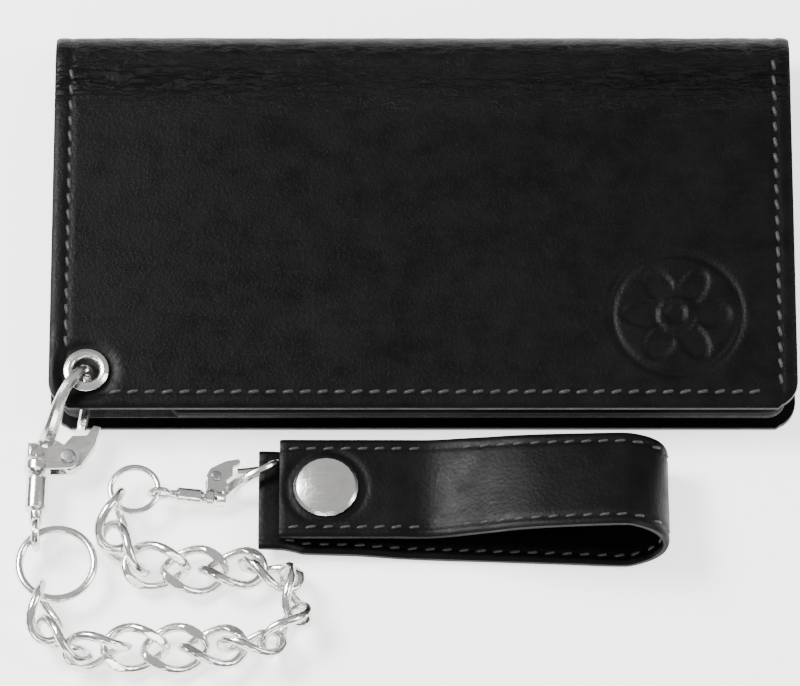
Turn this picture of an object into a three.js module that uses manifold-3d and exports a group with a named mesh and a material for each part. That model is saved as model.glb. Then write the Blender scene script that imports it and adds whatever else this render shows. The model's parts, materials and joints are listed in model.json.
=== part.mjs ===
// Chain wallet: a long folding leather wallet, a curb chain with a snap hook at each end, and a leather
// belt loop that closes with a snap. Millimetres, +Z up, closed and lying on its back cover.
// The origin is the middle of the back cover's outer face. The fold is at +Y.
import * as THREE from 'three';
import { mergeVertices } from 'three/addons/utils/BufferGeometryUtils.js';
import Module from 'manifold-3d';

const wasm = await Module();
wasm.setup();

// ---- driving dimensions ----
const WIDTH = 178;             // along the fold
const DEPTH = 100;             // from the open edge to the outside of the fold
const FOLD_RADIUS = 9;         // outside of the fold, so the wallet is twice this thick there
const COVER = 1.6;             // outer leather
const PLY = 0.6;               // inner linings and pockets
const LAYER_GAP = 0.2;         // air between two plies
const COVER_TILT = 2.9;        // degrees that the front half slopes down to the open edge
const CORNER = 7;              // radius of the covers' two free corners
const POCKET_INSET = 2.5;      // inner plies stop this far inside the covers' edge
const EYELET_CUT = 28;         // inner plies leave this corner free for the eyelet and hook
const EYELET_X = -80;
const EYELET_FROM_FOLD = 81.2; // from the fold's centre line
const EYELET_BORE = 3.1;
const EYELET_FLANGE = 5.45;

const LINK_LENGTH = 17.5;      // outside
const LINK_WIDTH = 13;         // outside
const LINK_WIRE = 1.3;         // radius
const LINK_TWIST = 45;         // degrees that each end of a curb link is turned out of its middle
const LINK_Z = 3.3;            // a link's middle when it lies on the ground

const RING_A_WIRE = 1.1;       // radius
const RING_B_WIRE = 0.85;
const RING_A_RADIUS = 8.9;     // middle of the wire
const RING_B_RADIUS = 5.7;

const STRAP_WIDTH = 25;
const STRAP_PLY = 2;           // belt loop leather
const STRAP_END = -39;         // left end of the lower layer
const STRAP_SPLIT = 2;         // where the tongue starts to lift
const TONGUE_END = -34;
const TONGUE_Z = 6.6;          // underside of the tongue at the snap
const SNAP_X = -23;
const STRAP_BACK = -56;        // back edge of the tongue

const FOLD_Y = DEPTH / 2 - FOLD_RADIUS;
const OPEN_Y = -DEPTH / 2;
const HALF_DEPTH = FOLD_Y - OPEN_Y;
const SNAP_Y = STRAP_BACK - STRAP_WIDTH / 2;
const rad = THREE.MathUtils.degToRad;
const v3 = (x, y, z) => new THREE.Vector3(x, y, z);

const BLACK_LEATHER = [0x141416, 0.45, 0];
const LINING_LEATHER = [0x1c1c1f, 0.6, 0];
const LINING_CLOTH = [0x222226, 0.85, 0];
const NICKEL = [0xc4c6c8, 0.25, 0.95];
const DARK_STEEL = [0x6a6c70, 0.35, 0.9];
const COIL_NYLON = [0x18181a, 0.5, 0];

// ---- helpers ----
function node(name, geometry, [color, roughness, metalness]) {
  geometry.computeVertexNormals();
  const mesh = new THREE.Mesh(geometry, new THREE.MeshStandardMaterial({ color, roughness, metalness }));
  mesh.name = name;
  return mesh;
}

function indexed(points, faces) {
  const geometry = new THREE.BufferGeometry();
  geometry.setAttribute('position', new THREE.Float32BufferAttribute(points.flatMap((p) => [p.x, p.y, p.z]), 3));
  geometry.setIndex(faces);
  return geometry;
}

// The faces turned round, if need be, so that they face out of the solid.
function outward(points, faces) {
  let volume = 0;
  for (let i = 0; i < faces.length; i += 3) {
    const [a, b, c] = [points[faces[i]], points[faces[i + 1]], points[faces[i + 2]]];
    volume += a.dot(b.clone().cross(c));
  }
  return volume < 0 ? [...faces].reverse() : faces;
}

// A solid through a list of sections, each a ring of points in the same order.
function loft(sections, closed) {
  const sides = sections[0].length;
  const faces = [];
  const spans = closed ? sections.length : sections.length - 1;
  for (let i = 0; i < spans; i += 1) {
    const here = i * sides;
    const next = ((i + 1) % sections.length) * sides;
    for (let j = 0; j < sides; j += 1) {
      const k = (j + 1) % sides;
      faces.push(here + j, here + k, next + k, here + j, next + k, next + j);
    }
  }
  if (!closed) {
    const last = (sections.length - 1) * sides;
    for (let j = 1; j < sides - 1; j += 1) {
      faces.push(0, j + 1, j);
      faces.push(last, last + j, last + j + 1);
    }
  }
  const points = sections.flat();
  return indexed(points, outward(points, faces));
}

// A wire of changing thickness along a smooth path.
function wire(path, radii, steps, sides, closed = false) {
  const curve = new THREE.CatmullRomCurve3(path, closed, 'centripetal');
  const frames = curve.computeFrenetFrames(steps, closed);
  const sections = [];
  const count = closed ? steps : steps + 1;
  for (let i = 0; i < count; i += 1) {
    const middle = curve.getPointAt(i / steps);
    const place = (i / steps) * (radii.length - 1);
    const low = Math.min(Math.floor(place), radii.length - 2);
    const radius = radii.length === 1 ? radii[0] : THREE.MathUtils.lerp(radii[low], radii[low + 1], place - low);
    const section = [];
    for (let j = 0; j < sides; j += 1) {
      const turn = (j / sides) * 2 * Math.PI;
      const out = frames.normals[i].clone().multiplyScalar(Math.cos(turn) * radius);
      section.push(middle.clone().add(out.addScaledVector(frames.binormals[i], Math.sin(turn) * radius)));
    }
    sections.push(section);
  }
  return loft(sections, closed);
}

// The same surface with shared vertices, and without the triangles that this flattens.
function welded(geometry) {
  const bare = geometry.clone();
  bare.deleteAttribute('normal');
  bare.deleteAttribute('uv');
  const merged = mergeVertices(bare, 1e-4);
  const faces = [];
  const index = merged.index.array;
  for (let i = 0; i < index.length; i += 3) {
    const [a, b, c] = [index[i], index[i + 1], index[i + 2]];
    if (a !== b && b !== c && c !== a) {
      faces.push(a, b, c);
    }
  }
  merged.setIndex(faces);
  return merged;
}

function solid(geometry) {
  const merged = welded(geometry);
  const vertProperties = new Float32Array(merged.attributes.position.array);
  const triVerts = new Uint32Array(merged.index.array);
  return new wasm.Manifold(new wasm.Mesh({ numProp: 3, vertProperties, triVerts }));
}

function fromSolid(whole) {
  const { vertProperties, triVerts } = whole.getMesh();
  const geometry = new THREE.BufferGeometry();
  geometry.setAttribute('position', new THREE.Float32BufferAttribute(vertProperties, 3));
  geometry.setIndex([...triVerts]);
  return geometry;
}

function joined(...geometries) {
  return fromSolid(geometries.map(solid).reduce((a, b) => a.add(b)));
}

function turned(profile, sides) {
  return welded(new THREE.LatheGeometry(profile.map(([r, z]) => new THREE.Vector2(r, z)), sides));
}

function slab(shape, bottom, thickness) {
  const options = { depth: thickness, bevelEnabled: false, curveSegments: 6 };
  return new THREE.ExtrudeGeometry(shape, options).translate(0, 0, bottom);
}

// A round hole, which has to run the other way round from the outline that it is in.
function hole(x, y, radius, clockwise = true) {
  return new THREE.Path().absarc(x, y, radius, 0, 2 * Math.PI, clockwise);
}

// A ply of one half: square at the fold, round at the open edge, or cut off at the eyelet's corner.
function ply({ inset, foldEdge, openEdge, eyeletCut }) {
  const side = WIDTH / 2 - inset;
  const radius = Math.max(CORNER - inset, 1);
  const shape = new THREE.Shape();
  shape.moveTo(side, foldEdge);
  shape.lineTo(-side, foldEdge);
  if (eyeletCut) {
    shape.lineTo(-side, Math.min(openEdge + EYELET_CUT, foldEdge - 1));
    shape.lineTo(-side + EYELET_CUT, openEdge);
  } else {
    shape.lineTo(-side, openEdge + radius);
    shape.absarc(-side + radius, openEdge + radius, radius, Math.PI, 1.5 * Math.PI, false);
  }
  shape.lineTo(side - radius, openEdge);
  shape.absarc(side - radius, openEdge + radius, radius, 1.5 * Math.PI, 2 * Math.PI, false);
  shape.closePath();
  return shape;
}

// ---- back half ----
function backHalf() {
  const group = new THREE.Group();
  const cover = ply({ inset: 0, foldEdge: FOLD_Y, openEdge: OPEN_Y });
  const openEdge = OPEN_Y + POCKET_INSET;
  const lining = ply({ inset: POCKET_INSET, foldEdge: FOLD_Y - 1, openEdge });
  const divider = ply({ inset: POCKET_INSET, foldEdge: FOLD_Y - 6, openEdge, eyeletCut: true });
  const slip = ply({ inset: POCKET_INSET, foldEdge: FOLD_Y - 10, openEdge, eyeletCut: true });
  const coin = ply({ inset: POCKET_INSET, foldEdge: ZIP_Y - ZIP_HALF, openEdge, eyeletCut: true });
  let z = COVER + LAYER_GAP;
  group.add(node('back_cover', slab(cover, 0, COVER), BLACK_LEATHER));
  group.add(node('bill_lining', slab(lining, z, PLY), LINING_CLOTH));
  z += PLY + LAYER_GAP;
  group.add(node('bill_divider', slab(divider, z, PLY), LINING_CLOTH));
  z += PLY + LAYER_GAP;
  group.add(node('slip_pocket', slab(slip, z, PLY), LINING_LEATHER));
  z += PLY + LAYER_GAP;
  group.add(node('coin_pocket', slab(coin, z, PLY), LINING_LEATHER));
  group.add(...zip(z));
  return group;
}

// ---- coin pocket zip, along X ----
const ZIP_Y = 20;
const ZIP_HALF = 5;
const ZIP_REACH = 78;
const TAPE = 0.6;
const TOOTH = 0.9;
const TOOTH_HALF = 1.5;
const SLIDER_LENGTH = 8;
const SLIDER_WALL = 0.8;
const SLIDER_REST = -66;       // middle of the slider when the zip is shut
const PULL_LENGTH = 16;

function zip(z) {
  const gap = LAYER_GAP;
  const tape = new THREE.BoxGeometry(2 * ZIP_REACH, 2 * ZIP_HALF - 2 * gap, TAPE).translate(0, ZIP_Y, z + TAPE / 2);
  const teethZ = z + TAPE + gap;
  const teeth = new THREE.BoxGeometry(2 * ZIP_REACH - 6, 2 * TOOTH_HALF, TOOTH);
  teeth.translate(0, ZIP_Y, teethZ + TOOTH / 2);
  const inner = TOOTH_HALF + gap;
  const outer = inner + SLIDER_WALL;
  const roof = TOOTH + gap;
  const channel = new THREE.Shape();
  channel.moveTo(-outer, 0);
  channel.lineTo(-inner, 0);
  channel.lineTo(-inner, roof);
  channel.lineTo(inner, roof);
  channel.lineTo(inner, 0);
  channel.lineTo(outer, 0);
  channel.lineTo(outer, roof + SLIDER_WALL);
  channel.lineTo(-outer, roof + SLIDER_WALL);
  channel.closePath();
  const slider = new THREE.ExtrudeGeometry(channel, { depth: SLIDER_LENGTH, bevelEnabled: false });
  slider.rotateX(Math.PI / 2).rotateZ(Math.PI / 2);
  slider.translate(SLIDER_REST - SLIDER_LENGTH / 2, ZIP_Y, teethZ + gap / 2);
  const tab = new THREE.Shape();
  tab.moveTo(0, -outer);
  tab.lineTo(PULL_LENGTH - outer, -outer);
  tab.absarc(PULL_LENGTH - outer, 0, outer, -Math.PI / 2, Math.PI / 2, false);
  tab.lineTo(0, outer);
  tab.closePath();
  tab.holes.push(hole(PULL_LENGTH - outer, 0, 1.1));
  const pull = slab(tab, 0, SLIDER_WALL);
  pull.translate(SLIDER_REST, ZIP_Y, teethZ + roof + SLIDER_WALL + 2 * gap);
  return [
    node('coin_zip_tape', tape, LINING_CLOTH),
    node('coin_zip_teeth', teeth, COIL_NYLON),
    node('zip_slider', slider, NICKEL),
    node('zip_pull', pull, NICKEL),
  ];
}

// ---- front half, in a group that turns about the fold's centre line ----
function frontHalf() {
  const group = new THREE.Group();
  group.position.set(0, FOLD_Y, FOLD_RADIUS);
  group.rotation.x = rad(COVER_TILT);
  const openEdge = POCKET_INSET - HALF_DEPTH;
  const cover = ply({ inset: 0, foldEdge: 0, openEdge: -HALF_DEPTH });
  const lining = ply({ inset: POCKET_INSET, foldEdge: -1, openEdge });
  for (const shape of [cover, lining]) {
    shape.holes.push(hole(EYELET_X, -EYELET_FROM_FOLD, EYELET_BORE + 0.7));
  }
  let z = FOLD_RADIUS - COVER;
  group.add(node('front_cover', slab(cover, z, COVER), BLACK_LEATHER));
  z -= PLY + LAYER_GAP;
  group.add(node('front_lining', slab(lining, z, PLY), LINING_CLOTH));
  const foldEdges = { card_panel: -6, card_pocket_1: -20, card_pocket_2: -36, card_pocket_3: -52 };
  for (const [name, foldEdge] of Object.entries(foldEdges)) {
    z -= PLY + LAYER_GAP;
    const shape = ply({ inset: POCKET_INSET, foldEdge, openEdge, eyeletCut: true });
    group.add(node(name, slab(shape, z, PLY), LINING_LEATHER));
  }
  group.add(...eyelet());
  return group;
}

function eyelet() {
  const top = FOLD_RADIUS;
  const bottom = FOLD_RADIUS - COVER - LAYER_GAP - PLY;
  const wall = EYELET_BORE + 0.4;
  const roll = EYELET_FLANGE - 1.1;
  const barrel = turned([
    [EYELET_BORE, bottom - 1.6],
    [wall + 1.1, bottom - 1.6],
    [wall + 1.1, bottom - 1.2],
    [wall, bottom - 1.1],
    [wall, top + 0.1],
    [EYELET_FLANGE, top + 0.1],
    [EYELET_FLANGE, top + 0.5],
    [roll, top + 0.95],
    [EYELET_BORE + 0.4, top + 0.8],
    [EYELET_BORE, top + 0.3],
    [EYELET_BORE, bottom - 1.6],
  ], 28);
  const washer = turned([
    [wall + 0.2, bottom - 0.9],
    [EYELET_FLANGE, bottom - 0.9],
    [EYELET_FLANGE, bottom - 0.2],
    [wall + 0.2, bottom - 0.2],
    [wall + 0.2, bottom - 0.9],
  ], 24);
  const place = (geometry) => geometry.rotateX(Math.PI / 2).translate(EYELET_X, -EYELET_FROM_FOLD, 0);
  return [node('eyelet', place(barrel), NICKEL), node('eyelet_washer', place(washer), NICKEL)];
}

// ---- the fold, a strip of the cover bent round the spine ----
function foldSpine() {
  const start = -90 + 1.5;
  const end = 90 + COVER_TILT - 1.5;
  const steps = 14;
  const sections = [];
  for (let i = 0; i <= steps; i += 1) {
    const angle = rad(start + ((end - start) * i) / steps);
    const at = (x, radius) => v3(x, FOLD_Y + radius * Math.cos(angle), FOLD_RADIUS + radius * Math.sin(angle));
    const inside = FOLD_RADIUS - COVER;
    const side = WIDTH / 2;
    sections.push([at(-side, inside), at(-side, FOLD_RADIUS), at(side, FOLD_RADIUS), at(side, inside)]);
  }
  return node('fold_spine', loft(sections, false), BLACK_LEATHER);
}

// ---- snap hook, in a frame with its swivel axis along Y and its base at the origin ----
const HOOK_BORE = 1.5;
const HOOK_COLLAR = 3.2;
const HOOK_RIVET_X = 7.3;
const HOOK_RIVET_Y = 2;
const HOOK_RIVET = 0.9;
const GATE_HALF = 1.2;
const LUG = 0.8;
const LUG_GAP = 0.3;

function hookBody(side) {
  const path = [
    [1.2, 4.3, 0], [2.0, 6.2, 1.4], [3.6, 8.6, 5.2], [5.8, 13.6, 9.9], [8.9, 18.9, 11.0],
    [11.2, 21.8, 8.6], [11.9, 22.2, 5.4], [11.8, 20.0, 2.2], [11.2, 15.0, 0.6], [10.2, 9.6, 0.2],
  ].map(([x, y, z]) => v3(side * x, y, z));
  const bow = wire(path, [2.0, 2.1, 1.75, 1.45, 1.35, 1.3, 1.3, 1.3, 1.3, 1.25], 30, 10);
  const collar = turned([
    [HOOK_BORE, -1.5], [HOOK_COLLAR - 0.5, -1.5], [HOOK_COLLAR, -1.0], [HOOK_COLLAR, 0.9],
    [HOOK_COLLAR - 0.6, 1.5], [HOOK_BORE, 1.5], [HOOK_BORE, -1.5],
  ], 20);
  const head = new THREE.CylinderGeometry(2.5, 2.9, 2.6, 20).translate(0, 3.6, 0);
  const lug = new THREE.Shape();
  lug.moveTo(0, -1.1);
  lug.lineTo(side * (HOOK_RIVET_X - 0.6), -0.9);
  const [first, last] = side > 0 ? [-1.77, 1.77] : [Math.PI + 1.77, Math.PI - 1.77];
  lug.absarc(side * HOOK_RIVET_X, HOOK_RIVET_Y, 2.9, first, last, side < 0);
  lug.lineTo(side * 2.6, 7.2);
  lug.lineTo(0, 5.4);
  lug.closePath();
  lug.holes.push(hole(side * HOOK_RIVET_X, HOOK_RIVET_Y, HOOK_RIVET + 0.2, side > 0));
  const lift = GATE_HALF + LUG_GAP;
  return joined(bow, collar, head, slab(lug, lift, LUG), slab(lug, -lift - LUG, LUG), hookBridge(side));
}

// The back of the hook's frame, which joins its two cheeks above the swivel's head.
function hookBridge(side) {
  return new THREE.BoxGeometry(2.2, 3.2, 2 * (GATE_HALF + LUG_GAP + LUG)).translate(side * -1.1, 3.9, 0);
}

function hookGate(side) {
  const outline = [
    [5.0, 0.2], [5.2, 4.4], [8.2, 7.9], [11.6, 8.0], [13.2, 10.6], [14.8, 10.2],
    [13.6, 5.4], [10.4, 0.2], [7.6, -1.2],
  ].map(([x, y]) => new THREE.Vector2(side * x, y));
  const shape = new THREE.Shape(outline);
  shape.holes.push(hole(side * HOOK_RIVET_X, HOOK_RIVET_Y, HOOK_RIVET + 0.2, side < 0));
  return slab(shape, -GATE_HALF, 2 * GATE_HALF);
}

function hookRivet(side) {
  const cheek = GATE_HALF + LUG_GAP + LUG + 0.15;
  const profile = [
    [0, -cheek - 0.8], [1.5, -cheek - 0.7], [1.9, -cheek], [HOOK_RIVET, -cheek],
    [HOOK_RIVET, cheek], [1.9, cheek], [1.5, cheek + 0.7], [0, cheek + 0.8],
  ];
  return turned(profile, 16).rotateX(Math.PI / 2).translate(side * HOOK_RIVET_X, HOOK_RIVET_Y, 0);
}

function hookSpring(side) {
  const path = [[4.9, 6.9, 0], [4.5, 6.3, 0], [4.3, 5.6, 0], [4.2, 4.9, 0]].map(([x, y, z]) => v3(side * x, y, z));
  return wire(path, [0.3, 0.3], 8, 6);
}

// The swivel: a barrel whose headed stem turns in the collar, and an eye at its far end.
function hookSwivel() {
  const stem = HOOK_BORE - 0.25;
  const barrel = turned([
    [0, -14.6], [1.5, -14.5], [1.7, -11.6], [2.7, -10.8], [2.7, -3.2], [2.0, -1.9],
    [stem, -1.9], [stem, 1.9], [0, 1.9],
  ], 18);
  const eye = new THREE.TorusGeometry(3.4, 0.95, 8, 20).rotateY(Math.PI / 2).translate(0, -17, 0);
  return joined(barrel, eye);
}

function snapHook(prefix, side, place) {
  const pieces = {
    body: [hookBody(side), NICKEL],
    gate: [hookGate(side), NICKEL],
    rivet: [hookRivet(side), DARK_STEEL],
    spring: [hookSpring(side), DARK_STEEL],
    swivel: [hookSwivel(), NICKEL],
  };
  const group = new THREE.Group();
  for (const [name, [geometry, finish]] of Object.entries(pieces)) {
    group.add(node(`${prefix}_${name}`, geometry, finish));
  }
  place(group);
  return group;
}

const HOOK_A = v3(-91.5, -62.4, 6);
const HOOK_B = v3(-50.8, -69, 3.6);
const HOOK_B_SIZE = 0.7;
const HOOK_B_TILT = 12;

// ---- rings ----
function ring(name, centre, radius, wireRadius) {
  const geometry = new THREE.TorusGeometry(radius, wireRadius, 8, 32);
  return node(name, geometry.translate(centre.x, centre.y, centre.z), NICKEL);
}

const EYE_REACH = 17.4;        // from a hook's base to the wire that its eye holds
const RING_A_BEARING = rad(-55);
const RING_A_CENTRE = v3(
  HOOK_A.x + RING_A_RADIUS * Math.cos(RING_A_BEARING),
  HOOK_A.y - EYE_REACH + RING_A_RADIUS * Math.sin(RING_A_BEARING),
  HOOK_A.z,
);
const RING_B_CENTRE = v3(-68.4, -68, 6.1);

// ---- curb chain ----
// Each entry is a link's heading in degrees from +X, its roll about its own length, and its distance
// from the link before it. A chain that rolls a little at each link can turn more sharply.
const CHAIN_START = v3(-89, -99.6, 6);
const CHAIN_RUN = [
  [-82, -60, 0], [-37, -82, 9.2], [8, -104, 9.2], [2, -137, 9.1], [4, -170, 9.1], [0, -203, 9.1], [3, -236, 9.1],
  [49, -261, 9.1], [104, -283, 9.4], [158, -305, 9.1], [182, -334, 9.3], [179, -368, 9.0], [177, -405, 9.0],
  [131, -440, 9.0], [82, -475, 9.0],
];

function chainPlaces() {
  const places = [];
  const at = CHAIN_START.clone();
  let before = null;
  for (const [heading, roll, pitch] of CHAIN_RUN) {
    const along = v3(Math.cos(rad(heading)), Math.sin(rad(heading)), 0);
    if (before) {
      at.addScaledVector(before, pitch / 2).addScaledVector(along, pitch / 2);
      at.z = LINK_Z + (LINK_WIDTH / 2 - LINK_Z) * Math.abs(Math.sin(rad(roll)));
    }
    places.push({ at: at.clone(), heading, roll });
    before = along;
  }
  return places;
}

function curbLink() {
  const steps = 22;
  const sides = 7;
  const long = LINK_LENGTH / 2 - LINK_WIRE;
  const wide = LINK_WIDTH / 2 - LINK_WIRE;
  const centre = (turn) => {
    const roll = rad(LINK_TWIST) * Math.cos(turn);
    const out = wide * Math.sin(turn);
    return v3(long * Math.cos(turn), out * Math.cos(roll), out * Math.sin(roll));
  };
  const points = [];
  for (let i = 0; i < steps; i += 1) {
    points.push(centre((i / steps) * 2 * Math.PI));
  }
  return wire(points, [LINK_WIRE], steps, sides, true);
}

function chain() {
  const group = new THREE.Group();
  chainPlaces().forEach(({ at, heading, roll }, i) => {
    const link = node(`link_${String(i + 1).padStart(2, '0')}`, curbLink(), NICKEL);
    link.position.copy(at);
    link.rotation.set(rad(roll), 0, rad(heading), 'ZYX');
    group.add(link);
  });
  return group;
}

// ---- belt loop ----
const LOOP_RIGHT = 48;         // where the lower layer starts to turn up
const LOOP_RADIUS = 8.6;       // middle of the leather round the turn
const LOOP_LEAN = 4.5;         // how far the loop's upper layer stands back from the lower one at the turn
const END_LEAN = 1.5;          // the same at the snap
const LOOP_FRONT_LIFT = 4;     // how far the upper layer's front edge stands above its back edge

// One station of the strap: its place in X and Z, the leather's direction, and how far it leans back.
function strapSection(x, z, angle, back, lift, thickness) {
  const front = back - STRAP_WIDTH;
  const nx = -Math.sin(angle) * thickness / 2;
  const nz = Math.cos(angle) * thickness / 2;
  return [
    v3(x - nx, front, z - nz + lift), v3(x + nx, front, z + nz + lift),
    v3(x + nx, back, z + nz), v3(x - nx, back, z - nz),
  ];
}

function strapLoop() {
  const sections = [];
  const lowBack = STRAP_BACK - LOOP_LEAN;
  const lean = (x) => THREE.MathUtils.mapLinear(x, STRAP_END, LOOP_RIGHT, END_LEAN, LOOP_LEAN);
  const low = STRAP_PLY / 2;
  const lower = [
    [STRAP_END, 4.4], [-33, 4.2], [-30, 3.0], [-28.5, 2.1], [-15, 2.1], [-6, low + 0.2], [0, low], [20, low],
  ];
  for (const [x, z] of lower) {
    sections.push(strapSection(x, z, 0, STRAP_BACK - lean(x), 0, STRAP_PLY));
  }
  const steps = 12;
  for (let i = 0; i <= steps; i += 1) {
    const part = i / steps;
    const angle = Math.PI * part;
    const x = LOOP_RIGHT + LOOP_RADIUS * Math.sin(angle) * 1.05;
    const z = low + LOOP_RADIUS * (1 - Math.cos(angle)) * 0.86;
    sections.push(strapSection(x, z, angle, lowBack + LOOP_LEAN * part * 0.6, LOOP_FRONT_LIFT * part, STRAP_PLY));
  }
  const top = low + 2 * LOOP_RADIUS * 0.86;
  const upper = [[36, 0.1], [24, 0.3], [12, 0.7], [STRAP_SPLIT + 0.3, 1]];
  for (const [x, part] of upper) {
    const z = THREE.MathUtils.lerp(top, TONGUE_Z + STRAP_PLY / 2, part);
    const back = THREE.MathUtils.lerp(lowBack + LOOP_LEAN * 0.6, STRAP_BACK, part);
    sections.push(strapSection(x, z, Math.PI, back, LOOP_FRONT_LIFT * (1 - part), STRAP_PLY));
  }
  return node('strap_loop', pierced(loft(sections, false)), BLACK_LEATHER);
}

// The lower layer's end has a hole for the hook, and one for the snap's post.
function pierced(geometry) {
  const forHook = new THREE.CylinderGeometry(2.2, 2.2, 12, 16).rotateX(Math.PI / 2).translate(HOOK_HOLE.x, HOOK_HOLE.y, 0);
  const forPost = new THREE.CylinderGeometry(1.3, 1.3, 5, 14).rotateX(Math.PI / 2).translate(SNAP_X, SNAP_Y, 2);
  return fromSolid(solid(geometry).subtract(solid(forHook)).subtract(solid(forPost)));
}

const HOOK_HOLE = v3(-34.9, -61.2, 0);

function strapTongue() {
  const front = STRAP_BACK - STRAP_WIDTH;
  const radius = STRAP_WIDTH / 2;
  const shape = new THREE.Shape();
  shape.moveTo(STRAP_SPLIT, front);
  shape.lineTo(STRAP_SPLIT, STRAP_BACK);
  shape.lineTo(TONGUE_END + radius, STRAP_BACK);
  shape.absarc(TONGUE_END + radius, SNAP_Y, radius, Math.PI / 2, 1.5 * Math.PI, false);
  shape.closePath();
  shape.holes.push(hole(SNAP_X, SNAP_Y, 1.5));
  return node('strap_tongue', slab(shape, TONGUE_Z, STRAP_PLY), BLACK_LEATHER);
}

// ---- snap: cap and socket on the tongue, stud and post on the lower layer ----
function snap() {
  const top = TONGUE_Z + STRAP_PLY;
  const base = 3.1;              // top of the lower layer under the stud
  const profiles = {
    snap_cap: [
      [0, TONGUE_Z - 0.2], [1.2, TONGUE_Z - 0.2], [1.2, top + 0.2], [7.6, top + 0.2], [7.8, top + 0.6],
      [7.0, top + 1.2], [4.5, top + 1.7], [0, top + 2.0],
    ],
    snap_socket: [
      [2.6, TONGUE_Z - 1.9], [5.2, TONGUE_Z - 1.9], [5.6, TONGUE_Z - 1.4], [5.6, TONGUE_Z - 0.2],
      [1.5, TONGUE_Z - 0.2], [1.5, TONGUE_Z - 0.5], [2.6, TONGUE_Z - 0.7], [2.6, TONGUE_Z - 1.9],
    ],
    snap_stud: [
      [1.4, base + 0.2], [5.4, base + 0.2], [5.4, base + 0.7], [2.2, base + 0.9], [1.9, base + 1.4],
      [2.3, base + 2.0], [1.9, base + 2.5], [1.4, base + 2.5], [1.4, base + 0.2],
    ],
    snap_post: [
      [0, 0.2], [4.6, 0.2], [4.6, 0.75], [1.1, 0.75], [1.1, base + 2.2], [0, base + 2.2],
    ],
  };
  return Object.entries(profiles).map(([name, profile]) => {
    const geometry = turned(profile, 22).rotateX(Math.PI / 2).translate(SNAP_X, SNAP_Y, 0);
    return node(name, geometry, NICKEL);
  });
}

// ---- whole object ----
const group = new THREE.Group();
group.add(backHalf(), frontHalf(), foldSpine());
group.add(snapHook('hook_a', 1, (hook) => hook.position.copy(HOOK_A)));
group.add(ring('ring_a', RING_A_CENTRE, RING_A_RADIUS, RING_A_WIRE));
group.add(chain());
group.add(strapLoop(), strapTongue(), ...snap());
group.add(snapHook('hook_b', -1, (hook) => {
  hook.position.copy(HOOK_B);
  hook.rotation.set(rad(-HOOK_B_TILT), 0, rad(-90), 'ZXY');
  hook.scale.setScalar(HOOK_B_SIZE);
}));
group.add(ring('ring_b', RING_B_CENTRE, RING_B_RADIUS, RING_B_WIRE));

export default group;
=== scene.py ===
import json
import math

import bmesh
import bpy
import numpy as np
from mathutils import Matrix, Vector, noise


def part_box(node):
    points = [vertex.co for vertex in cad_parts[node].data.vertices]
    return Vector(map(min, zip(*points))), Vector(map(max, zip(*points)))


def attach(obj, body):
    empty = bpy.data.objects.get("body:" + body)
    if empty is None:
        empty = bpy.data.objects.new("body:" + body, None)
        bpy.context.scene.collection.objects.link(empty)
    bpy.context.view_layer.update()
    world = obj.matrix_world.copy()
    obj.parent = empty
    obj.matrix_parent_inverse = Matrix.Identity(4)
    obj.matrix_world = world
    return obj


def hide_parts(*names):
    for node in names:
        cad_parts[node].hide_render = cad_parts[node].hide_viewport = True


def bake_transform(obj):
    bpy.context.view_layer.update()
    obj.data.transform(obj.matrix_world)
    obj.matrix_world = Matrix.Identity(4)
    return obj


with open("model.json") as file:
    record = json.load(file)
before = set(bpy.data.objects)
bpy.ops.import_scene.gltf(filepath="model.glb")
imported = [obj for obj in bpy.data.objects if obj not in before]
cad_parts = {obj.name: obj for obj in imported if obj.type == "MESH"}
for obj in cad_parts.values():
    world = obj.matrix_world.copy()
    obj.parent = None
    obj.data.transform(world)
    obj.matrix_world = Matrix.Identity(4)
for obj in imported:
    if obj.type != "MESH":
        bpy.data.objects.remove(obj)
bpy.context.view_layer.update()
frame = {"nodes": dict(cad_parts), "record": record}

MM = 0.001
RNG = np.random.default_rng(7)

# ---- camera and lights ----
CAMERA_TARGET = Vector((-0.0055, -0.0306, 0.008))
CAMERA_ELEVATION = math.radians(65)
CAMERA_DISTANCE = 1.5
CAMERA_SPAN = 0.1912  # width of the picture at the target
SENSOR = 36


def aim(thing, target):
    thing.rotation_euler = (Vector(target) - thing.location).to_track_quat("-Z", "Y").to_euler()


def camera():
    data = bpy.data.cameras.new("camera")
    cam = bpy.data.objects.new("camera", data)
    bpy.context.scene.collection.objects.link(cam)
    away = Vector((0, -math.cos(CAMERA_ELEVATION), math.sin(CAMERA_ELEVATION)))
    cam.location = CAMERA_TARGET + CAMERA_DISTANCE * away
    aim(cam, CAMERA_TARGET)
    data.sensor_width = SENSOR
    data.lens = SENSOR * CAMERA_DISTANCE / CAMERA_SPAN
    data.clip_end = 20
    bpy.context.scene.camera = cam


def area_light(name, place, size, power, target=(0, -0.03, 0)):
    data = bpy.data.lights.new(name, "AREA")
    data.shape = "RECTANGLE"
    data.size, data.size_y = size
    data.energy = power
    lamp = bpy.data.objects.new(name, data)
    lamp.location = place
    bpy.context.scene.collection.objects.link(lamp)
    aim(lamp, target)


camera()
area_light("key", (-0.62, 0.22, 0.8), (0.45, 0.35), 24)
area_light("fill", (0.75, -0.1, 0.7), (0.3, 0.6), 7.0)
area_light("front", (-0.1, -0.85, 0.45), (0.7, 0.2), 4.0)
world = bpy.data.worlds.new("world")
bpy.context.scene.world = world
world.use_nodes = True


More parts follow.
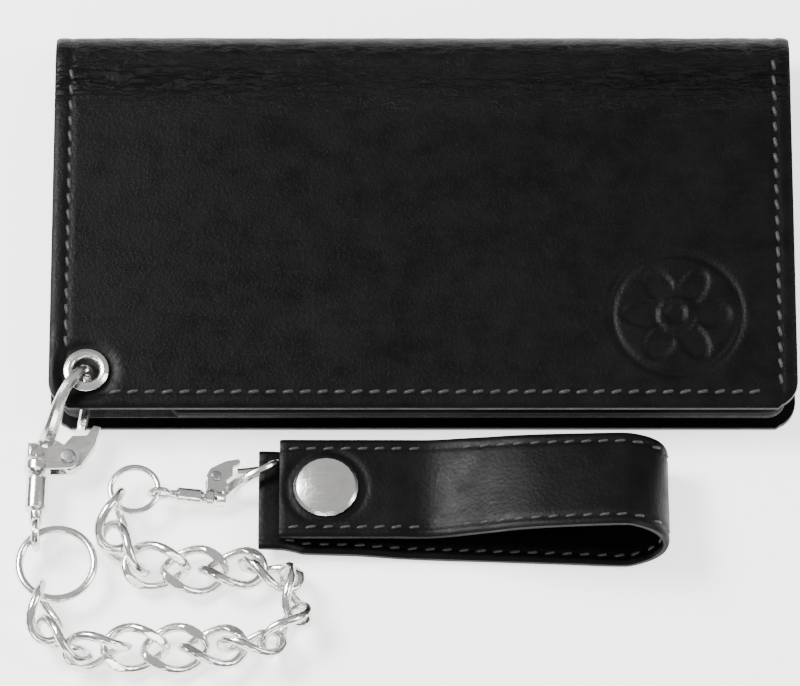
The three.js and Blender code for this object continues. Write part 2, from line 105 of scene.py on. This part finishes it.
def studio(tree):
    """A pale ceiling over dark sides, so that metal has something to reflect."""
    way = tree.nodes.new("ShaderNodeTexCoord").outputs["Generated"]
    split = tree.nodes.new("ShaderNodeSeparateXYZ")
    tree.links.new(way, split.inputs[0])
    ramp = tree.nodes.new("ShaderNodeValToRGB")
    tree.links.new(split.outputs["Z"], ramp.inputs[0])
    stops = ramp.color_ramp.elements
    stops[0].position, stops[0].color = 0.1, (0.1, 0.1, 0.105, 1)
    stops[1].position, stops[1].color = 0.6, (1, 1, 1, 1)
    back = tree.nodes["Background"]
    tree.links.new(ramp.outputs[0], back.inputs[0])
    back.inputs[1].default_value = 0.6


studio(world.node_tree)

# ---- materials ----


class Maker:
    """A node material, built up a node at a time."""

    def __init__(self, name):
        self.material = bpy.data.materials.new(name)
        self.material.use_nodes = True
        self.tree = self.material.node_tree
        self.shader = self.tree.nodes["Principled BSDF"]
        self.coords = self.tree.nodes.new("ShaderNodeTexCoord").outputs["Object"]

    def link(self, value, socket):
        if hasattr(value, "links"):
            self.tree.links.new(value, socket)
        else:
            socket.default_value = value

    def noise(self, scale, detail=4, rough=0.6, coords=None, distortion=0.0):
        n = self.tree.nodes.new("ShaderNodeTexNoise")
        self.link(coords or self.coords, n.inputs["Vector"])
        n.inputs["Scale"].default_value = scale
        n.inputs["Detail"].default_value = detail
        n.inputs["Roughness"].default_value = rough
        n.inputs["Distortion"].default_value = distortion
        return n.outputs["Fac"]

    def cells(self, scale, feature="F1"):
        n = self.tree.nodes.new("ShaderNodeTexVoronoi")
        n.feature = feature
        self.link(self.coords, n.inputs["Vector"])
        n.inputs["Scale"].default_value = scale
        return n.outputs["Distance"]

    def stretched(self, scale):
        n = self.tree.nodes.new("ShaderNodeMapping")
        self.link(self.coords, n.inputs["Vector"])
        n.inputs["Scale"].default_value = scale
        return n.outputs["Vector"]

    def ramp(self, value, low, high, out_low=0.0, out_high=1.0):
        n = self.tree.nodes.new("ShaderNodeMapRange")
        self.link(value, n.inputs["Value"])
        n.inputs["From Min"].default_value = low
        n.inputs["From Max"].default_value = high
        n.inputs["To Min"].default_value = out_low
        n.inputs["To Max"].default_value = out_high
        return n.outputs["Result"]

    def math(self, operation, a, b=0.0):
        n = self.tree.nodes.new("ShaderNodeMath")
        n.operation = operation
        self.link(a, n.inputs[0])
        self.link(b, n.inputs[1])
        return n.outputs[0]

    def mix(self, factor, a, b):
        n = self.tree.nodes.new("ShaderNodeMix")
        n.data_type = "RGBA"
        self.link(factor, n.inputs["Factor"])
        self.link(a, n.inputs[6])
        self.link(b, n.inputs[7])
        return n.outputs[2]

    def attribute(self, name):
        n = self.tree.nodes.new("ShaderNodeAttribute")
        n.attribute_name = name
        return n.outputs["Fac"]

    def bump(self, height, depth, normal=None):
        n = self.tree.nodes.new("ShaderNodeBump")
        self.link(height, n.inputs["Height"])
        n.inputs["Strength"].default_value = 1.0
        n.inputs["Distance"].default_value = depth
        if normal is not None:
            self.link(normal, n.inputs["Normal"])
        return n.outputs["Normal"]

    def finish(self, color, rough, normal=None, metallic=0.0, **more):
        self.link(color, self.shader.inputs["Base Color"])
        self.link(rough, self.shader.inputs["Roughness"])
        self.shader.inputs["Metallic"].default_value = metallic
        if normal is not None:
            self.link(normal, self.shader.inputs["Normal"])
        for name, value in more.items():
            self.shader.inputs[name.replace("_", " ")].default_value = value
        return self.material


def leather(name, dark, light, grain=900, rough=0.38, crease=True):
    m = Maker(name)
    pebble = m.cells(grain, feature="SMOOTH_F1")
    pores = m.noise(grain * 3.1, 3)
    cloud = m.noise(28, 5)
    broad = m.ramp(cloud, 0.35, 0.7)
    color = m.mix(broad, dark, light)
    color = m.mix(m.ramp(pores, 0.62, 0.8, 0, 0.5), color, tuple(c * 0.5 for c in dark[:3]) + (1,))
    normal = m.bump(pebble, 0.00005)
    normal = m.bump(pores, 0.00003, normal)
    if crease:
        wrinkle = m.noise(1.0, 5, 0.6, m.stretched((170, 620, 620)), 0.5)
        ridge = m.math("ABSOLUTE", m.math("SUBTRACT", wrinkle, 0.5))
        line = m.ramp(ridge, 0.0, 0.05, 1.0, 0.0)
        worn = m.attribute("worn")
        amount = m.math("MULTIPLY", line, worn)
        normal = m.bump(amount, -0.0002, normal)
        rubbed = m.math("MULTIPLY", m.ramp(ridge, 0.04, 0.2), m.math("MULTIPLY", worn, 0.35))
        color = m.mix(rubbed, color, (0.012, 0.012, 0.013, 1))
    roughness = m.ramp(m.noise(160, 4), 0.3, 0.7, rough - 0.08, rough + 0.1)
    return m.finish(color, roughness, normal, Specular_IOR_Level=0.1)


def nickel(name, color=(0.74, 0.73, 0.7, 1), rough=0.13):
    m = Maker(name)
    scratch = m.noise(1.0, 4, 0.7, m.stretched((350, 2600, 900)))
    cloud = m.noise(300, 4)
    tint = m.mix(m.ramp(cloud, 0.5, 0.8), color, tuple(c * 0.72 for c in color[:3]) + (1,))
    streaks = m.ramp(scratch, 0.35, 0.75, rough, rough + 0.12)
    roughness = m.math("ADD", streaks, m.ramp(cloud, 0.5, 0.75, 0, 0.08))
    normal = m.bump(scratch, 0.00002)
    normal = m.bump(m.noise(700, 2), 0.00004, normal)
    return m.finish(tint, roughness, normal, metallic=1.0)


def cloth(name, dark, light, pitch=2400):
    m = Maker(name)
    warp = m.noise(1.0, 2, 0.5, m.stretched((pitch, pitch * 0.12, pitch * 0.12)))
    weft = m.noise(1.0, 2, 0.5, m.stretched((pitch * 0.12, pitch, pitch * 0.12)))
    weave = m.math("MULTIPLY", warp, weft)
    color = m.mix(m.ramp(weave, 0.15, 0.4), dark, light)
    return m.finish(color, 0.85, m.bump(weave, 0.0002), Sheen_Weight=0.3)


def thread(name):
    m = Maker(name)
    twist = m.noise(1.0, 2, 0.5, m.stretched((2500, 2500, 2500)))
    color = m.mix(m.ramp(twist, 0.3, 0.7), (0.004, 0.004, 0.0045, 1), (0.022, 0.022, 0.023, 1))
    return m.finish(color, 0.5, m.bump(twist, 0.00015), Sheen_Weight=0.2)


LEATHER = leather("black_leather", (0.0008, 0.0008, 0.0009, 1), (0.002, 0.002, 0.0021, 1), 1500)
STRAP_LEATHER = leather(
    "strap_leather", (0.0011, 0.001, 0.001, 1), (0.003, 0.0028, 0.0028, 1), 1200, 0.4, False
)
INNER = leather("inner_leather", (0.02, 0.019, 0.019, 1), (0.034, 0.033, 0.032, 1), 1200, 0.5, False)
CLOTH = cloth("lining_cloth", (0.012, 0.012, 0.014, 1), (0.045, 0.045, 0.05, 1))
TAPE = cloth("zip_tape", (0.01, 0.01, 0.011, 1), (0.035, 0.035, 0.038, 1), 3200)
NICKEL = nickel("nickel")
STEEL = nickel("steel", (0.32, 0.32, 0.33, 1), 0.28)
BRASS = nickel("brass", (0.62, 0.47, 0.24, 1), 0.2)
THREAD = thread("thread")

# ---- mesh helpers ----


def as_object(name, points, faces, material):
    mesh = bpy.data.meshes.new(name)
    mesh.from_pydata([tuple(p) for p in points], [], faces)
    mesh.update()
    mesh.polygons.foreach_set("use_smooth", [True] * len(mesh.polygons))
    mesh.materials.append(material)
    made = bpy.data.objects.new(name, mesh)
    bpy.context.scene.collection.objects.link(made)
    return made


def grid_faces(rows, columns, start=0):
    faces = []
    for i in range(rows - 1):
        for j in range(columns - 1):
            a = start + i * columns + j
            b = a + 1
            faces.append((a, b, b + columns, a + columns))
    return faces


def bound(name, material, bevel=0.0, levels=0, angle=32):
    """A finer copy of a CAD piece, with rounded edges, that takes that piece's place."""
    source = frame["nodes"][name]
    piece = bpy.data.objects.new(f"{name}_fine", source.data.copy())
    bpy.context.scene.collection.objects.link(piece)
    work = bmesh.new()
    work.from_mesh(piece.data)
    bmesh.ops.remove_doubles(work, verts=work.verts, dist=2e-6)
    bmesh.ops.dissolve_limit(work, angle_limit=math.radians(1.0), verts=work.verts, edges=work.edges)
    if levels:
        bmesh.ops.triangulate(work, faces=[f for f in work.faces if len(f.verts) > 4])
    for face in work.faces:
        face.smooth = True
    work.to_mesh(piece.data)
    work.free()
    piece.data.set_sharp_from_angle(angle=math.radians(angle))
    piece.data.materials.clear()
    piece.data.materials.append(material)
    if bevel:
        rounded = piece.modifiers.new("bevel", "BEVEL")
        rounded.width = bevel
        rounded.segments = 3
        rounded.limit_method = "ANGLE"
        rounded.angle_limit = math.radians(angle)
        rounded.harden_normals = True
    if levels:
        finer = piece.modifiers.new("subdivision", "SUBSURF")
        finer.levels = finer.render_levels = levels
    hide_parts(name)
    return piece


def body_of_node(name):
    for body, nodes in frame["record"]["behaviour"]["bodies"].items():
        if name in nodes:
            return body
    raise KeyError(name)


def settle(piece, node):
    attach(piece, body_of_node(node))


# ---- covers ----
LOW_BACK, HIGH_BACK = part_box("back_cover")
LOW_FRONT, HIGH_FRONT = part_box("front_cover")
LOW_SPINE, HIGH_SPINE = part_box("fold_spine")
PLY = 1.6 * MM
CORNER = 7 * MM
HALF_WIDTH = HIGH_BACK.x
RADIUS = (HIGH_SPINE.z - LOW_SPINE.z) / 2
FOLD_Y = HIGH_SPINE.y - RADIUS
OPEN_Y = LOW_BACK.y
TILT = math.radians(2.9)
LENGTH = FOLD_Y - OPEN_Y
ARC = math.pi * RADIUS
TOTAL = 2 * LENGTH + ARC
INSET = 4.0 * MM
PITCH = 4.1 * MM
EYELET_LOW, EYELET_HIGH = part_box("eyelet")
EYELET = (EYELET_LOW + EYELET_HIGH) / 2
ROSETTE_X = 60.5 * MM
ROSETTE_Y = -26.0 * MM
ROSETTE_REACH = 17  # millimetres


def cover_point(s, x, lift):
    """A place on the cover's outer face: s runs from the front's open edge, over the fold, to the back's."""
    if s < LENGTH:
        back = LENGTH - s
        y = FOLD_Y - back * math.cos(TILT)
        z = 2 * RADIUS - back * math.sin(TILT)
        normal = (0, -math.sin(TILT), math.cos(TILT))
    elif s < LENGTH + ARC:
        turn = (s - LENGTH) / RADIUS
        y = FOLD_Y + RADIUS * math.sin(turn)
        z = RADIUS + RADIUS * math.cos(turn)
        normal = (0, math.sin(turn), math.cos(turn))
    else:
        y = FOLD_Y - (s - LENGTH - ARC)
        z = 0.0
        normal = (0, 0, -1)
    return Vector((x, y, z)) + lift * Vector(normal)


def half_width(s):
    """The cover's half width at s, with its free corners rounded."""
    edge = min(s, TOTAL - s)
    if edge >= CORNER:
        return HALF_WIDTH
    return HALF_WIDTH - CORNER + math.sqrt(max(CORNER**2 - (CORNER - edge) ** 2, 0))


def worn_at(s, x):
    """How creased the leather is: most in a band below the fold."""
    down = abs(LENGTH - s) if s < LENGTH else 0.25 * (s - LENGTH)
    band = math.exp(-(((down - 6 * MM) / (5.5 * MM)) ** 2))
    along = 0.55 + 0.45 * noise.noise(Vector((x * 18, s * 30, 3.0)))
    ends = 0.55 + 0.45 * min(1, (abs(x) / HALF_WIDTH) ** 1.5 + 0.15)
    return max(0.0, min(1.0, band * along * ends * 1.4 + 0.06))


def rosette(x, y):
    """How deep a blind stamp of six petals in a ring is at a place, 0 to 1."""
    dx, dy = (x - ROSETTE_X) / MM, (y - ROSETTE_Y) / MM
    r, turn = math.hypot(dx, dy), math.atan2(dy, dx)
    if r > ROSETTE_REACH:
        return 0.0
    ring = math.exp(-(((r - 15.4) / 0.8) ** 2))
    petal = 5.0 + 7.4 * abs(math.cos(3 * turn))
    edge = 1.0 if 4.6 < r < petal else math.exp(-(((r - petal) / 0.7) ** 2))
    core = 1.0 if r < 2.4 else 0.0
    return min(1.0, ring + edge + core)


STEP = 0.65 * MM


def cover_skin():
    rows = int(TOTAL / STEP)
    columns = int(2 * HALF_WIDTH / STEP)
    outer, worn = [], []
    for i in range(rows + 1):
        part = i / rows
        s = TOTAL * part
        wide = half_width(min(max(s, 0.35 * MM), TOTAL - 0.35 * MM))
        for j in range(columns + 1):
            x = wide * (2 * j / columns - 1)
            rim = min(s, TOTAL - s, HALF_WIDTH - abs(x))
            rub = worn_at(s, x)
            lift = -0.5 * MM * math.exp(-rim / (0.55 * MM))
            lift -= 0.2 * MM * math.exp(-(((rim - INSET) / (0.75 * MM)) ** 2))
            lift += 0.06 * MM * noise.noise(Vector((x * 26, s * 30, 1.0)))
            lift += rub * 0.16 * MM * noise.noise(Vector((x * 130, s * 520, 5.0)))
            lift += rub * 0.13 * MM * noise.noise(Vector((x * 330, s * 900, 8.0)))
            if s < LENGTH:
                place = cover_point(s, x, 0)
                lift -= 0.4 * MM * rosette(place.x, place.y)
                away = math.hypot(x - EYELET.x, place.y - EYELET.y)
                lift -= 0.5 * MM * math.exp(-(((away - 6.0 * MM) / (1.5 * MM)) ** 2))
            outer.append(cover_point(s, x, min(lift, 0.3 * MM)))
            worn.append(rub)
    inner = []
    for i in range(rows + 1):
        s = TOTAL * i / rows
        wide = half_width(min(max(s, 0.35 * MM), TOTAL - 0.35 * MM))
        for j in range(columns + 1):
            inner.append(cover_point(s, wide * (2 * j / columns - 1), -PLY))
            worn.append(0.0)
    count = columns + 1
    faces = [tuple(reversed(f)) for f in grid_faces(rows + 1, count)]
    shift = len(outer)
    faces += grid_faces(rows + 1, count, shift)
    rim = [(0, j) for j in range(count)] + [(i, columns) for i in range(1, rows + 1)]
    rim += [(rows, j) for j in range(columns - 1, -1, -1)] + [(i, 0) for i in range(rows - 1, 0, -1)]
    loop = [i * count + j for i, j in rim]
    for a, b in zip(loop, loop[1:] + loop[:1]):
        faces.append((a, b, b + shift, a + shift))
    skin = as_object("cover_skin", outer + inner, faces, LEATHER)
    mark = skin.data.attributes.new("worn", "FLOAT", "POINT")
    mark.data.foreach_set("value", worn)
    skin.data.set_sharp_from_angle(angle=math.radians(50))
    cut_round(skin, EYELET.x, EYELET.y, EYELET.z, 3.4 * MM)
    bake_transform(skin)
    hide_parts("back_cover", "front_cover", "fold_spine")


def cut_round(piece, x, y, z, radius):
    bpy.ops.mesh.primitive_cylinder_add(vertices=40, radius=radius, depth=7 * MM, location=(x, y, z))
    cutter = bpy.context.object
    work = piece.modifiers.new("hole", "BOOLEAN")
    work.object = cutter
    work.solver = "EXACT"
    bpy.context.view_layer.update()
    made = bpy.data.meshes.new_from_object(piece.evaluated_get(bpy.context.evaluated_depsgraph_get()))
    piece.modifiers.clear()
    piece.data = made
    bpy.data.objects.remove(cutter)


def capsule(centre, along, up, length, radius):
    """Points and faces of one stitch: a thread that thins and dips at each end."""
    along, up = along.normalized(), up.normalized()
    side = up.cross(along)
    points, faces, rings, sides = [], [], 9, 8
    for i in range(rings):
        part = 2 * i / (rings - 1) - 1
        thick = radius * math.sqrt(max(1 - part**4, 0.12))
        dip = -0.75 * radius * part**4 * 2
        for k in range(sides):
            turn = 2 * math.pi * k / sides
            out = side * (thick * math.cos(turn)) + up * (thick * math.sin(turn) + dip)
            points.append(centre + along * (part * length / 2) + out)
    for i in range(rings - 1):
        for k in range(sides):
            a, b = i * sides + k, i * sides + (k + 1) % sides
            faces.append((a, b, b + sides, a + sides))
    faces.append(tuple(reversed(range(sides))))
    faces.append(tuple(range((rings - 1) * sides, rings * sides)))
    return points, faces


def stitch_line(name, frames, radius=0.45 * MM, length=3.1 * MM, slant=0.22):
    """One mesh of stitches; frames holds (centre, direction, outward)."""
    points, faces = [], []
    for centre, along, up in frames:
        side = up.cross(along)
        lean = along + side * (slant + RNG.normal(0, 0.04))
        p, f = capsule(centre + up * radius * 0.15, lean, up, length * (1 + RNG.normal(0, 0.03)), radius)
        faces += [tuple(v + len(points) for v in face) for face in f]
        points += p
    return as_object(name, points, faces, THREAD)


def cover_frame(s, x, along_x, sunk=0.1 * MM):
    centre = cover_point(s, x, -sunk)
    ahead = cover_point(s + 0.5 * MM, x, -sunk)
    outward = (cover_point(s, x, 1 * MM) - cover_point(s, x, 0)).normalized()
    along = Vector((1, 0, 0)) if along_x else (ahead - centre).normalized()
    return centre, along, outward


def cover_stitches():
    reach = HALF_WIDTH - INSET
    first = EYELET_HIGH.x + 1.5 * MM
    top = LENGTH - 1.5 * MM
    for half, place in (("front", lambda s: s), ("back", lambda s: TOTAL - s)):
        frames = []
        count = int((reach - 3 * MM - first) / PITCH)
        for k in range(count + 1):
            frames.append(cover_frame(place(INSET), first + k * PITCH, True))
        for x in (-reach, reach):
            s = INSET + 3.2 * MM if x > 0 else INSET + 13 * MM
            while s < top:
                frames.append(cover_frame(place(s), x, False))
                s += PITCH
        line = stitch_line(f"stitches_{half}", frames)
        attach(line, f"{half}_half")


cover_skin()
cover_stitches()

# ---- belt loop strap ----
LOOP_LOW, LOOP_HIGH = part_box("strap_loop")
TONGUE_LOW, TONGUE_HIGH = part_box("strap_tongue")
STRAP_WIDTH = 25 * MM
STRAP_PLY = 2 * MM
STRAP_INSET = 2.4  # stitches from the edge, in millimetres
CAP_MARK = 9.3  # radius of the ring pressed round the cap, in millimetres


def strap_stations():
    """(x, z, angle, back edge, front lift) in millimetres along the leather, from the hook to the tongue."""
    def lean(x):
        return 1.5 + (x + 39) / 87 * 3.0
    rows = []
    lower = (
        (-39, 4.4), (-33, 4.2), (-30, 3.0), (-28.5, 2.1), (-15, 2.1), (-6, 1.2), (0, 1), (20, 1), (34, 1),
    )
    for x, z in lower:
        rows.append((x, z, 0.0, -56 - lean(x), 0.0))
    for i in range(13):
        part = i / 12
        angle = math.pi * part
        rows.append((48 + 8.6 * 1.05 * math.sin(angle), 1 + 8.6 * 0.86 * (1 - math.cos(angle)), angle,
                     -60.5 + 2.7 * part, 4 * part))
    top = 1 + 2 * 8.6 * 0.86
    for x, part in ((36, 0.1), (24, 0.3), (12, 0.7), (2, 1)):
        rows.append((x, top + (7.6 - top) * part, math.pi, -57.8 + 1.8 * part, 4 * (1 - part)))
    for x in (-8, -20, -34):
        rows.append((x, 7.6, math.pi, -56, 0.0))
    return rows


def smooth_rows(rows, step):
    """Smooth curves through the stations, in nearly even steps."""
    rows = np.array(rows, float)
    out = []
    for k in range(len(rows) - 1):
        a, b = rows[max(k - 1, 0)], rows[k]
        c, d = rows[k + 1], rows[min(k + 2, len(rows) - 1)]
        span = math.hypot(c[0] - b[0], c[1] - b[1])
        before = max(math.hypot(b[0] - a[0], b[1] - a[1]), span * 0.01)
        after = max(math.hypot(d[0] - c[0], d[1] - c[1]), span * 0.01)
        n = max(2, int(span / step))
        start = (c - a) / (before + span) * span if k else (c - b)
        end = (d - b) / (after + span) * span if k < len(rows) - 2 else (c - b)
        for i in range(n):
            t = i / n
            h = (2 * t**3 - 3 * t**2 + 1, t**3 - 2 * t**2 + t, -2 * t**3 + 3 * t**2, t**3 - t**2)
            out.append(h[0] * b + h[1] * start + h[2] * c + h[3] * end)
    out.append(rows[-1])
    return out


def strap_place(row, across, lift):
    """across is 0 at the front edge and 1 at the back edge; lift is towards the loop's outside."""
    x, z, angle, back, raised = row
    y = back - STRAP_WIDTH / MM * (1 - across)
    nx, nz = math.sin(angle), -math.cos(angle)
    return Vector((x + nx * lift, y, z + nz * lift + raised * (1 - across))) * MM


def strap_skin():
    rows = smooth_rows(strap_stations(), 0.8)
    across = 44
    half = STRAP_PLY / MM / 2
    count = 2 * (across + 1)
    points, faces = [], []
    for i, row in enumerate(rows):
        end = min(i, len(rows) - 1 - i)
        for side in (1, -1):
            span = range(across + 1) if side > 0 else range(across, -1, -1)
            for j in span:
                w = j / across
                rim = min(w, 1 - w) * 25
                lift = half - 0.45 * math.exp(-rim / 0.5) - (0.25 if end == 0 else 0)
                lift -= 0.22 * math.exp(-(((rim - STRAP_INSET) / 0.6) ** 2))
                lift += 0.10 * noise.noise(Vector((row[0] * 0.09, w * 3, row[1] * 0.2)))
                place = strap_place(row, w, 0)
                if side > 0 and row[2] > 3 and row[0] < 0:
                    away = math.hypot(place.x / MM - CAP.x / MM, place.y / MM - CAP.y / MM)
                    lift -= 0.35 * math.exp(-(((away - CAP_MARK) / 0.7) ** 2))
                points.append(strap_place(row, w, side * lift))
    for i in range(len(rows) - 1):
        for j in range(count):
            a, b = i * count + j, i * count + (j + 1) % count
            faces.append((a, b, b + count, a + count))
    faces.append(tuple(reversed(range(count))))
    faces.append(tuple(range((len(rows) - 1) * count, len(rows) * count)))
    skin = as_object("strap_skin", points, faces, STRAP_LEATHER)
    work = bmesh.new()
    work.from_mesh(skin.data)
    bmesh.ops.recalc_face_normals(work, faces=work.faces)
    work.to_mesh(skin.data)
    work.free()
    skin.data.set_sharp_from_angle(angle=math.radians(60))
    return skin, rows


CAP_LOW, CAP_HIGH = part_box("snap_cap")
CAP = (CAP_LOW + CAP_HIGH) / 2
STRAP, STRAP_ROWS = strap_skin()


def split_strap(skin):
    """Cuts the skin in two: the upper layer's end, by the tongue, and the rest."""
    upper = bpy.data.objects.new("tongue_skin", skin.data.copy())
    bpy.context.scene.collection.objects.link(upper)
    for piece, keep_tongue in ((skin, False), (upper, True)):
        work = bmesh.new()
        work.from_mesh(piece.data)
        drop = []
        for face in work.faces:
            centre = face.calc_center_median()
            tongue = centre.z > 5.9 * MM and centre.x < 16 * MM
            if tongue != keep_tongue:
                drop.append(face)
        bmesh.ops.delete(work, geom=drop, context="FACES")
        work.to_mesh(piece.data)
        work.free()
    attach(skin, "strap")
    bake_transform(upper)
    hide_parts("strap_loop")
    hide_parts("strap_tongue")


split_strap(STRAP)


def strap_stitches():
    groups = {"strap": [], "tongue": []}
    gathered = 0.0
    before = None
    for k, row in enumerate(STRAP_ROWS[:-2]):
        here = strap_place(row, 0.5, 0)
        if before is not None:
            gathered += (here - before).length
        before = here
        if gathered < 3.9 * MM or row[0] < -32:
            continue
        gathered = 0.0
        for w in (STRAP_INSET / 25, 1 - STRAP_INSET / 25):
            for side in (1, -1):
                if side > 0 and row[1] < 6:
                    continue
                centre = strap_place(row, w, side * 0.82)
                ahead = strap_place(STRAP_ROWS[k + 1], w, side * 0.82)
                up = (strap_place(row, w, side * 1.82) - centre).normalized()
                tongue = row[2] > 3 and row[0] < 2
                if row[2] > 3 and 2 <= row[0] < 8:
                    continue
                groups["tongue" if tongue else "strap"].append((centre, ahead - centre, up))
    for body, frames in groups.items():
        line = stitch_line(f"stitches_{body}", frames, 0.36 * MM, 2.9 * MM, 0.16)
        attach(line, body)


strap_stitches()

# ---- chain ----


def fine_link(name):
    """A curb link with rounded wire and the flat facets filed across its two faces."""
    piece = bound(name, NICKEL, levels=2)
    bpy.context.view_layer.update()
    made = bpy.data.meshes.new_from_object(piece.evaluated_get(bpy.context.evaluated_depsgraph_get()))
    piece.modifiers.clear()
    piece.data = made
    co = np.zeros(len(made.vertices) * 3)
    made.vertices.foreach_get("co", co)
    co = co.reshape(-1, 3)
    centre = (co.max(0) + co.min(0)) / 2
    _, _, axes = np.linalg.svd(co - co.mean(0), full_matrices=False)
    out = (co - co.mean(0)) @ axes[2]
    flat = np.abs(out).max() * 0.82
    moved = co - np.outer(out - np.clip(out, -flat, flat), axes[2])
    made.vertices.foreach_set("co", moved.reshape(-1))
    made.polygons.foreach_set("use_smooth", [True] * len(made.polygons))
    made.set_sharp_from_angle(angle=math.radians(24))
    settle(piece, name)


METAL = {
    "eyelet": (NICKEL, 0.25, "nickel"),
    "eyelet_washer": (NICKEL, 0.1, "nickel"),
    "hook_a_body": (NICKEL, 0.45, "nickel"),
    "hook_a_gate": (NICKEL, 0.4, "nickel"),
    "hook_a_swivel": (NICKEL, 0.15, "nickel"),
    "hook_b_body": (NICKEL, 0.32, "nickel"),
    "hook_b_gate": (NICKEL, 0.28, "nickel"),
    "hook_b_swivel": (NICKEL, 0.1, "nickel"),
    "hook_a_rivet": (STEEL, 0.2, "steel"),
    "hook_b_rivet": (STEEL, 0.15, "steel"),
    "hook_a_spring": (STEEL, 0.0, "steel"),
    "hook_b_spring": (STEEL, 0.0, "steel"),
    "snap_cap": (NICKEL, 0.2, "nickel"),
    "snap_socket": (STEEL, 0.15, "steel"),
    "snap_stud": (STEEL, 0.15, "steel"),
    "snap_post": (STEEL, 0.1, "steel"),
    "zip_slider": (BRASS, 0.15, "brass"),
    "zip_pull": (BRASS, 0.15, "brass"),
    "coin_zip_teeth": (BRASS, 0.0, "brass"),
}
INSIDE = {
    "bill_lining": (CLOTH, "lining_cloth"),
    "front_lining": (CLOTH, "lining_cloth"),
    "bill_divider": (CLOTH, "lining_cloth"),
    "slip_pocket": (INNER, "inner_leather"),
    "coin_pocket": (INNER, "inner_leather"),
    "card_panel": (INNER, "inner_leather"),
    "card_pocket_1": (INNER, "inner_leather"),
    "card_pocket_2": (INNER, "inner_leather"),
    "card_pocket_3": (INNER, "inner_leather"),
    "coin_zip_tape": (TAPE, "zip_tape"),
}


def hardware():
    for name in sorted(frame["nodes"]):
        if name.startswith("link_"):
            fine_link(name)
        elif name.startswith("ring_"):
            settle(bound(name, NICKEL, levels=2), name)
        elif name in METAL:
            material, bevel, slot = METAL[name]
            settle(bound(name, material, bevel * MM), name)
        elif name in INSIDE:
            material, slot = INSIDE[name]
            settle(bound(name, material, 0.15 * MM), name)


hardware()

# ---- floor ----


def floor():
    material = Maker("floor")
    cloud = material.ramp(material.noise(3, 2), 0.3, 0.7)
    shade = material.mix(cloud, (0.93, 0.93, 0.93, 1), (0.95, 0.95, 0.95, 1))
    material.finish(shade, 0.7, Emission_Color=(1, 1, 1, 1), Emission_Strength=1.6)
    bpy.ops.mesh.primitive_plane_add(size=12, location=(0, 0, -0.0003))
    plane = bpy.context.object
    plane.name = "floor"
    plane.data.materials.append(material.material)


floor()
